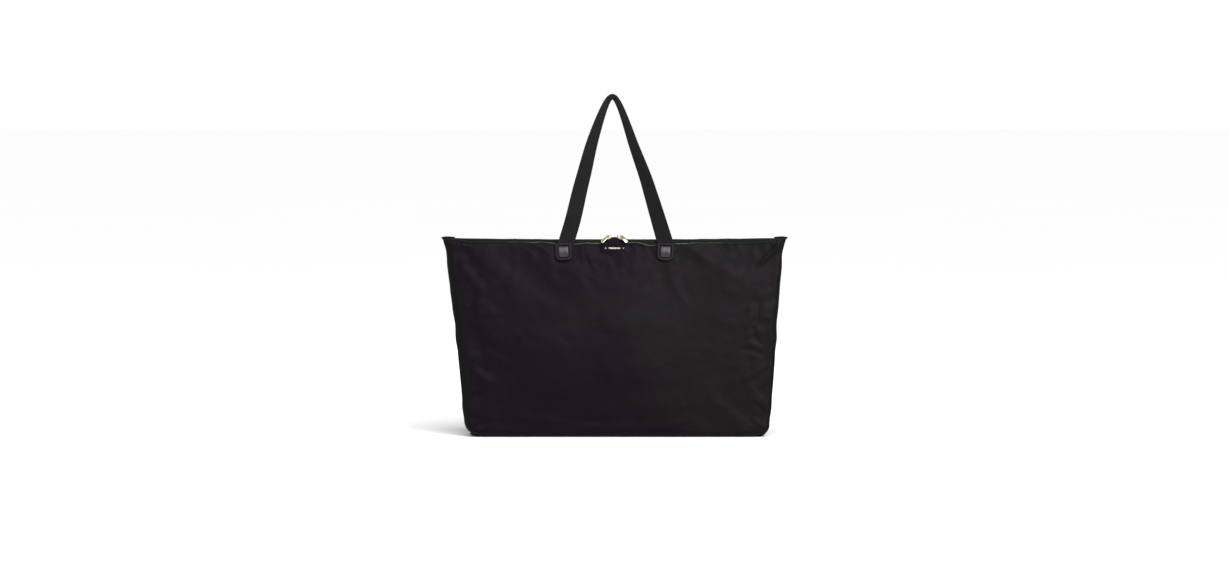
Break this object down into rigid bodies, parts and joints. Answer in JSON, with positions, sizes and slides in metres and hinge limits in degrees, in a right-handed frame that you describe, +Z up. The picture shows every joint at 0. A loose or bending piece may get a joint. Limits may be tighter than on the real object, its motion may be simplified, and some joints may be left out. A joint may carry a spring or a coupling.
{
  "type": "foldable tote bag",
  "caption": "Foldable zip-top tote of thin nylon with webbing handles on leather patches, metal zip sliders and an inner stow pocket.",
  "frame": {"origin": "on the floor, under the middle of the base", "axes": "+Z up, +X along the zip, the front of the bag faces -Y"},
  "size_m": [0.5512, 0.163, 0.5383],
  "materials": {
    "nylon": "satin",
    "webbing": "matt ribbed",
    "leather": "polished",
    "gold": "polished",
    "zip_coil": "satin",
    "zip_tape": "matt",
    "binding": "matt"
  },
  "bodies": {
    "bag_base": {"base_panel": "nylon", "left_base_binding": "binding", "right_base_binding": "binding", "left_gusset": "nylon", "right_gusset": "nylon", "left_front_seam_binding": "binding", "left_back_seam_binding": "binding", "right_front_seam_binding": "binding", "right_back_seam_binding": "binding", "zip_end_tab_left": "zip_tape", "zip_end_tab_right": "zip_tape"},
    "front_wall": {"front_panel_lower": "nylon", "front_base_binding": "binding"},
    "front_rim": {"front_panel_upper": "nylon", "front_zip_coil": "zip_coil", "front_zip_tape": "zip_tape", "front_left_anchor": "leather", "front_left_anchor_pad": "leather", "front_right_anchor": "leather", "front_right_anchor_pad": "leather", "centre_tab": "leather", "nameplate": "gold", "nameplate_stud_left": "gold", "nameplate_stud_right": "gold"},
    "front_handle": {"front_handle_strap": "webbing"},
    "back_wall": {"back_panel_lower": "nylon", "back_base_binding": "binding"},
    "back_rim": {"back_panel_upper": "nylon", "back_zip_coil": "zip_coil", "back_zip_tape": "zip_tape", "back_left_anchor": "leather", "back_left_anchor_pad": "leather", "back_right_anchor": "leather", "back_right_anchor_pad": "leather", "stow_pocket": "nylon", "pocket_zip_tape": "zip_tape", "pocket_zip_coil": "zip_coil"},
    "back_handle": {"back_handle_strap": "webbing"},
    "left_slider": {"slider_left_body": "gold", "slider_left_crown": "gold"},
    "left_pull": {"pull_left": "gold"},
    "right_slider": {"slider_right_body": "gold", "slider_right_crown": "gold"},
    "right_pull": {"pull_right": "gold"},
    "pocket_slider": {"pocket_slider_body": "gold"},
    "pocket_slider_pull": {"pocket_pull": "gold"}
  },
  "joints": [
    {"name": "fold_front", "type": "hinge", "parent": "bag_base", "child": "front_wall", "pos_m": [0, 0, 0.309], "axis": [1, 0, 0], "range_deg": [0, 13], "deforming": ["base_panel", "left_base_binding", "right_base_binding", "left_gusset", "right_gusset", "left_front_seam_binding", "left_back_seam_binding", "right_front_seam_binding", "right_back_seam_binding"]},
    {"name": "fold_back", "type": "hinge", "parent": "bag_base", "child": "back_wall", "pos_m": [0, 0, 0.309], "axis": [1, 0, 0], "range_deg": [-13, 0]},
    {"name": "zip_left", "type": "slide", "parent": "bag_base", "child": "left_slider", "axis": [-1, 0, 0], "range_m": [0, 0.236]},
    {"name": "zip_right", "type": "slide", "parent": "bag_base", "child": "right_slider", "axis": [1, 0, 0], "range_m": [0, 0.236]},
    {"name": "mouth_front", "type": "hinge", "parent": "front_wall", "child": "front_rim", "pos_m": [0, -0.0602, 0.14], "axis": [1, 0, 0], "range_deg": [0, 18]},
    {"name": "mouth_back", "type": "hinge", "parent": "back_wall", "child": "back_rim", "pos_m": [0, 0.0602, 0.14], "axis": [1, 0, 0], "range_deg": [-18, 0]},
    {"name": "handle_front", "type": "hinge", "parent": "front_rim", "child": "front_handle", "pos_m": [0, -0.0165, 0.3048], "axis": [1, 0, 0], "range_deg": [0, 155]},
    {"name": "handle_back", "type": "hinge", "parent": "back_rim", "child": "back_handle", "pos_m": [0, 0.0165, 0.3048], "axis": [1, 0, 0], "range_deg": [-155, 0]},
    {"name": "pull_left_flip", "type": "hinge", "parent": "left_slider", "child": "left_pull", "pos_m": [-0.009, 0, 0.3136], "axis": [0, 1, 0], "range_deg": [0, 100]},
    {"name": "pull_right_flip", "type": "hinge", "parent": "right_slider", "child": "right_pull", "pos_m": [0.009, 0, 0.3136], "axis": [0, -1, 0], "range_deg": [0, 100]},
    {"name": "pocket_zip", "type": "slide", "parent": "back_rim", "child": "pocket_slider", "axis": [1, 0, 0], "range_m": [0, 0.164]},
    {"name": "pocket_pull_swing", "type": "hinge", "parent": "pocket_slider", "child": "pocket_slider_pull", "pos_m": [-0.082, 0.0134, 0.2695], "axis": [-1, 0, 0], "range_deg": [0, 60]}
  ],
  "couplings": [
    {"joint": "fold_back", "follows": "fold_front", "ratio": -1},
    {"joint": "zip_right", "follows": "zip_left", "ratio": 1},
    {"joint": "mouth_front", "follows": "zip_left", "rad_per_m": 1.331},
    {"joint": "mouth_back", "follows": "zip_left", "rad_per_m": -1.331}
  ]
}
